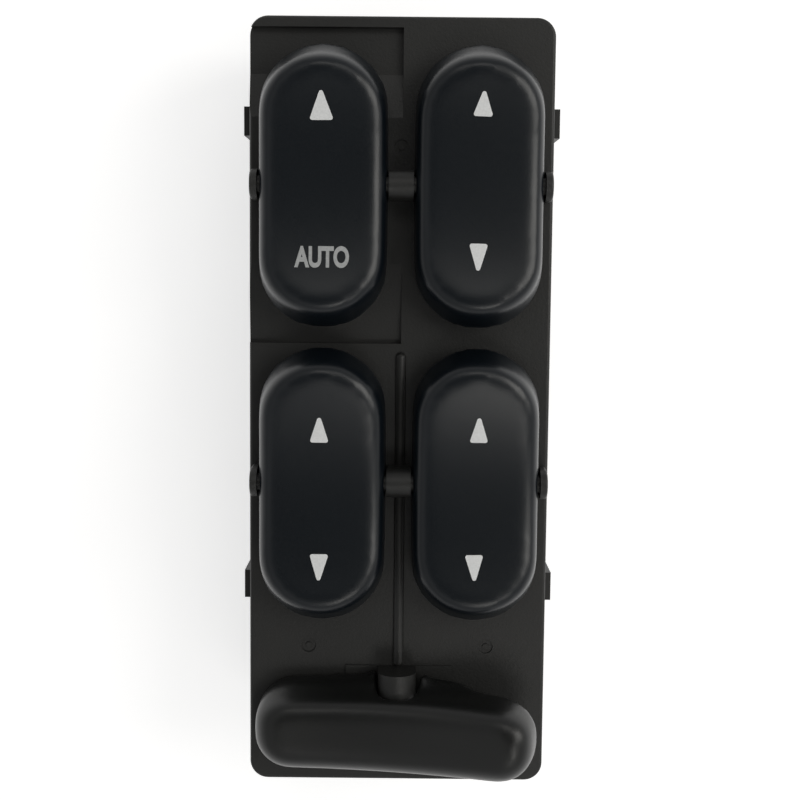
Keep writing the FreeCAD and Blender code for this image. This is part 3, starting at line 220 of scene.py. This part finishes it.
def print_ink(name, thin, full):
    """Pad print: nearly even, with a little of the grain showing through."""
    n = Nodes(name)
    n.link(n.ramp(n.noise(3.0, 3.0), ((0.3, thin), (0.7, full))), n.shader.inputs["Base Color"])
    n.link(n.span(n.noise(6.0), 0.45, 0.6), n.shader.inputs["Roughness"])
    return n.material


# Plastics: darkest and lightest tone, roughness, grains per mm and their depth in mm
PLATE = moulded("plate_plastic", (0.010, 0.0102, 0.0094), (0.0135, 0.0135, 0.0125), 0.46, 2.6, 0.03)
CASE = moulded("case_plastic", (0.010, 0.010, 0.0095), (0.014, 0.014, 0.013), 0.48, 2.0, 0.03)
ROCKER = moulded("rocker_plastic", (0.0030, 0.0052, 0.0078), (0.0040, 0.0064, 0.0092), 0.30, 3.4, 0.006)
LOCK = moulded("lock_plastic", (0.0052, 0.0056, 0.0053), (0.0070, 0.0074, 0.0070), 0.34, 3.0, 0.008,
               worn=(0.012, 0.012, 0.0115))
CARRIER = moulded("carriage_plastic", (0.62, 0.60, 0.55), (0.70, 0.68, 0.63), 0.42, 2.0, 0.01)
RELAY = moulded("relay_plastic", (0.010, 0.010, 0.011), (0.014, 0.014, 0.015), 0.26, 1.6, 0.008)
CHIP = moulded("chip_plastic", (0.010, 0.010, 0.010), (0.015, 0.015, 0.015), 0.62, 4.0, 0.012)
BOARD = board_lacquer()

# Metals: darkest and lightest tone, roughness and drawn lines per mm; inks: thinnest and fullest tone
TIN = metal("tinned_brass", (0.60, 0.58, 0.52), (0.74, 0.72, 0.66), 0.3, 0.9)
BRONZE = metal("contact_bronze", (0.55, 0.33, 0.16), (0.72, 0.46, 0.24), 0.28, 1.2)
STEEL = metal("spring_steel", (0.38, 0.38, 0.39), (0.52, 0.52, 0.53), 0.3, 2.0)
CAN = metal("capacitor_can", (0.62, 0.62, 0.63), (0.75, 0.75, 0.76), 0.32, 0.8)
WHITE_INK = print_ink("white_ink", (0.74, 0.75, 0.75), (0.82, 0.83, 0.83))
GREY_INK = print_ink("grey_ink", (0.36, 0.37, 0.37), (0.44, 0.45, 0.45))


def material_for(name):
    """The material of a CAD node."""
    exact = {
        "upper_housing": PLATE,
        "lower_housing": CASE,
        "circuit_board": BOARD,
        "lock_rocker": LOCK,
        "lock_detent_spring": STEEL,
        "auto_down_relay": RELAY,
        "control_chip": CHIP,
        "smoothing_capacitor": CAN,
    }
    endings = {"rocker": ROCKER, "carriage": CARRIER, "wiper": BRONZE, "spring": STEEL}
    if name in exact:
        return exact[name]
    if name.startswith("terminal"):
        return TIN
    return endings[name.rsplit("_", 1)[1]]


def dress_nodes():
    """Give each CAD node its material."""
    for name, node in nodes.items():
        node.data.materials.clear()
        node.data.materials.append(material_for(name))


# Softened rockers


def fine_copy(name):
    """A node's form as an even, fine mesh."""
    holder = nodes[name].copy()
    bpy.context.scene.collection.objects.link(holder)
    remesh = holder.modifiers.new("even", "REMESH")
    remesh.mode = "VOXEL"
    remesh.voxel_size = SKIN_SPACING
    mesh = bpy.data.meshes.new_from_object(holder.evaluated_get(bpy.context.evaluated_depsgraph_get()))
    bpy.data.objects.remove(holder)
    return mesh


def soft_share(height):
    """How much of the smoothing a point at this height takes: none at the plate, all near the top."""
    t = min(max((height - SOFT_FROM) / (SOFT_FULL - SOFT_FROM), 0.0), 1.0)
    return t * t * (3.0 - 2.0 * t)


def soften(mesh, lean=0.0):
    """Round the rims of a moulding towards its top, and lean its front wall back."""
    form = bmesh.new()
    form.from_mesh(mesh)
    low = min(v.co.y for v in form.verts)
    high = max(v.co.y for v in form.verts)
    shares = [soft_share(v.co.z) for v in form.verts]
    if lean:
        for v, share in zip(form.verts, shares):
            frontness = max(0.0, 2.0 * (v.co.y - low) / (high - low) - 1.0)
            v.co.y -= lean * share * frontness
    shares = [max(share, EVEN_SHARE) for share in shares]
    neighbours = [[e.other_vert(v).index for e in v.link_edges] for v in form.verts]
    places = [v.co.copy() for v in form.verts]
    for _ in range(SKIN_PASSES):
        places = [place.lerp(sum((places[i] for i in near), Vector()) / len(near), 0.5 * share)
                  for place, share, near in zip(places, shares, neighbours)]
    for v, place in zip(form.verts, places):
        v.co = place
    form.to_mesh(mesh)
    form.free()


def add_soft_rocker(name, material, lean=0.0):
    """A rocker with the soft rims of the real moulding, in place of its CAD node."""
    mesh = fine_copy(name)
    soften(mesh, lean)
    mesh.materials.clear()
    mesh.materials.append(material)
    mesh.polygons.foreach_set("use_smooth", [True] * len(mesh.polygons))
    skin = bpy.data.objects.new(name + "_skin", mesh)
    bpy.context.scene.collection.objects.link(skin)
    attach(skin, name + "_body")
    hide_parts(name)
    return skin


def add_soft_rockers():
    """All five rockers, by the names of their CAD nodes."""
    skins = {name: add_soft_rocker(name, ROCKER) for name in WINDOW_ROCKERS}
    skins["lock_rocker"] = add_soft_rocker("lock_rocker", LOCK, LOCK_FRONT_LEAN)
    return skins


# Printed marks


def surface_of(piece):
    """A searchable copy of a piece's surface."""
    corners = [piece.matrix_world @ v.co for v in piece.data.vertices]
    return BVHTree.FromPolygons(corners, [list(p.vertices) for p in piece.data.polygons])


def lay_on(points, surface):
    """Drop flat points straight down onto a surface and lift them a hair off it."""
    laid = []
    for x, y in points:
        hit, normal, _, _ = surface.ray_cast(Vector((x * MM, y * MM, ABOVE_ALL)), Vector((0.0, 0.0, -1.0)))
        laid.append(hit + normal * MARK_LIFT)
    return laid


def rounded_corner(before, corner, after, radius, steps=5):
    """Points of an arc that rounds one corner of a flat outline and still reaches the corner."""
    a = (Vector(before) - Vector(corner)).normalized()
    b = (Vector(after) - Vector(corner)).normalized()
    half = a.angle(b) / 2
    middle = Vector(corner) + (a + b).normalized() * radius
    outward = math.atan2(-(a + b).y, -(a + b).x)
    sweep = math.pi / 2 - half
    turn = -1.0 if a.cross(b) > 0 else 1.0
    angles = [outward + turn * sweep * (2.0 * i / steps - 1.0) for i in range(steps + 1)]
    return [middle + Vector((math.cos(angle), math.sin(angle))) * radius for angle in angles]


def print_mark(name, rocker, skins, faces_points, material):
    """A printed mark: thin faces laid on the rocker's top, riding with the rocker."""
    surface = surface_of(skins[rocker])
    mesh = bpy.data.meshes.new(name)
    corners = []
    faces = []
    for points in faces_points:
        first = len(corners)
        corners.extend(lay_on(points, surface))
        faces.append(list(range(first, len(corners))))
    mesh.from_pydata(corners, [], faces)
    mesh.materials.append(material)
    mark = bpy.data.objects.new(name, mesh)
    bpy.context.scene.collection.objects.link(mark)
    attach(mark, rocker + "_body")
    return mark


def add_arrows(skins):
    """Slim triangles that point to the rocker's nearer end."""
    for name, (rocker, tip, foot, width) in ARROWS.items():
        along = (Vector(tip) - Vector(foot)).normalized()
        across = Vector((-along.y, along.x)) * width / 2
        corners = [Vector(tip), Vector(foot) + across, Vector(foot) - across]
        outline = []
        for i, corner in enumerate(corners):
            outline.extend(rounded_corner(corners[i - 1], corner, corners[(i + 1) % 3], MARK_CORNER))
        print_mark(name, rocker, skins, [[tuple(p) for p in outline]], WHITE_INK)


def add_auto_word(skins):
    """The word AUTO below the one-touch rocker's middle."""
    rocker, low, high = AUTO_WORD
    text = bpy.data.curves.new("auto_word_text", "FONT")
    text.body = "AUTO"
    text.offset = WORD_WEIGHT
    holder = bpy.data.objects.new("auto_word_text", text)
    bpy.context.scene.collection.objects.link(holder)
    flat = bpy.data.meshes.new_from_object(holder.evaluated_get(bpy.context.evaluated_depsgraph_get()))
    xs = [v.co.x for v in flat.vertices]
    ys = [v.co.y for v in flat.vertices]
    scale_x = (high[0] - low[0]) / (max(xs) - min(xs))
    scale_y = (high[1] - low[1]) / (max(ys) - min(ys))

    def put(v):
        return low[0] + (v.co.x - min(xs)) * scale_x, low[1] + (v.co.y - min(ys)) * scale_y

    shapes = [[put(flat.vertices[i]) for i in face.vertices] for face in flat.polygons]
    bpy.data.objects.remove(holder)
    print_mark("auto_word", rocker, skins, shapes, GREY_INK)


# Studio


def add_camera():
    """The camera at the photograph's viewing angle."""
    data = bpy.data.cameras.new("camera")
    data.sensor_width = SENSOR
    data.lens = CAMERA_FOCAL * SENSOR / IMAGE_WIDTH
    data.clip_start = NEAREST_SEEN
    camera = bpy.data.objects.new("camera", data)
    camera.location = CAMERA_PLACE
    camera.rotation_euler = [math.radians(angle) for angle in CAMERA_TURN]
    bpy.context.scene.collection.objects.link(camera)
    bpy.context.scene.camera = camera


def seen_ray(tree, strength):
    """The strength for rays from the camera and for those that gloss or glass sends on, else nothing."""
    path = tree.nodes.new("ShaderNodeLightPath")
    total = path.outputs["Is Camera Ray"]
    for name in ("Is Glossy Ray", "Is Transmission Ray"):
        either = tree.nodes.new("ShaderNodeMath")
        either.operation = "MAXIMUM"
        tree.links.new(total, either.inputs[0])
        tree.links.new(path.outputs[name], either.inputs[1])
        total = either.outputs[0]
    scaled = tree.nodes.new("ShaderNodeMath")
    scaled.operation = "MULTIPLY"
    scaled.inputs[1].default_value = strength
    tree.links.new(total, scaled.inputs[0])
    return scaled.outputs[0]


def add_floor():
    """A wide pale floor under the switch."""
    n = Nodes("floor_paper")
    n.link(n.ramp(n.noise(0.02, 2.0), ((0.3, (0.86, 0.86, 0.86)), (0.7, (0.9, 0.9, 0.9)))),
           n.shader.inputs["Base Color"])
    n.shader.inputs["Roughness"].default_value = 0.9
    n.shader.inputs["Emission Color"].default_value = (1.0, 1.0, 1.0, 1.0)
    n.link(seen_ray(n.tree, FLOOR_GLOW), n.shader.inputs["Emission Strength"])
    mesh = bpy.data.meshes.new("floor")
    form = bmesh.new()
    bmesh.ops.create_grid(form, x_segments=1, y_segments=1, size=FLOOR_SIZE)
    form.to_mesh(mesh)
    form.free()
    mesh.materials.append(n.material)
    floor = bpy.data.objects.new("floor", mesh)
    bpy.context.scene.collection.objects.link(floor)


def add_light(name, place, aim, size, power):
    """A square soft light that looks at one point; places are in metres."""
    data = bpy.data.lights.new(name, "AREA")
    data.shape = "RECTANGLE"
    data.size = size[0]
    data.size_y = size[1]
    data.energy = power
    data.color = WARM
    light = bpy.data.objects.new(name, data)
    light.location = place
    light.rotation_euler = (Vector(aim) - Vector(place)).to_track_quat("-Z", "Y").to_euler()
    bpy.context.scene.collection.objects.link(light)


def add_world():
    """A pale horizon that darkens towards the zenith, where the camera and its stand are."""
    world = bpy.data.worlds.new("studio")
    world.use_nodes = True
    tree = world.node_tree
    background = tree.nodes["Background"]
    place = tree.nodes.new("ShaderNodeTexCoord")
    split = tree.nodes.new("ShaderNodeSeparateXYZ")
    tree.links.new(place.outputs["Generated"], split.inputs[0])
    ramp = tree.nodes.new("ShaderNodeValToRGB")
    elements = ramp.color_ramp.elements
    while len(elements) < len(SKY):
        elements.new(0.5)
    for element, (height, level) in zip(elements, SKY):
        element.position = height
        element.color = (level, level, level, 1.0)
    tree.links.new(split.outputs["Z"], ramp.inputs["Fac"])
    sides = tree.nodes.new("ShaderNodeMapRange")
    sides.inputs["From Min"].default_value = -1.0
    sides.inputs["To Min"].default_value = SKY_SIDES[0] * SKY_STRENGTH
    sides.inputs["To Max"].default_value = SKY_SIDES[1] * SKY_STRENGTH
    tree.links.new(split.outputs["Y"], sides.inputs["Value"])
    tree.links.new(ramp.outputs["Color"], background.inputs["Color"])
    tree.links.new(sides.outputs["Result"], background.inputs["Strength"])
    bpy.context.scene.world = world


def add_studio():
    """A pale floor, a soft sky and lights; places are in metres."""
    add_floor()
    add_world()
    for name, place, size, power in LIGHTS:
        add_light(name, place, (0.0, 0.0, PLATE_TOP), size, power)
    bpy.context.scene.view_settings.view_transform = "Standard"


dress_nodes()
soft_rockers = add_soft_rockers()
add_arrows(soft_rockers)
add_auto_word(soft_rockers)
add_camera()
add_studio()
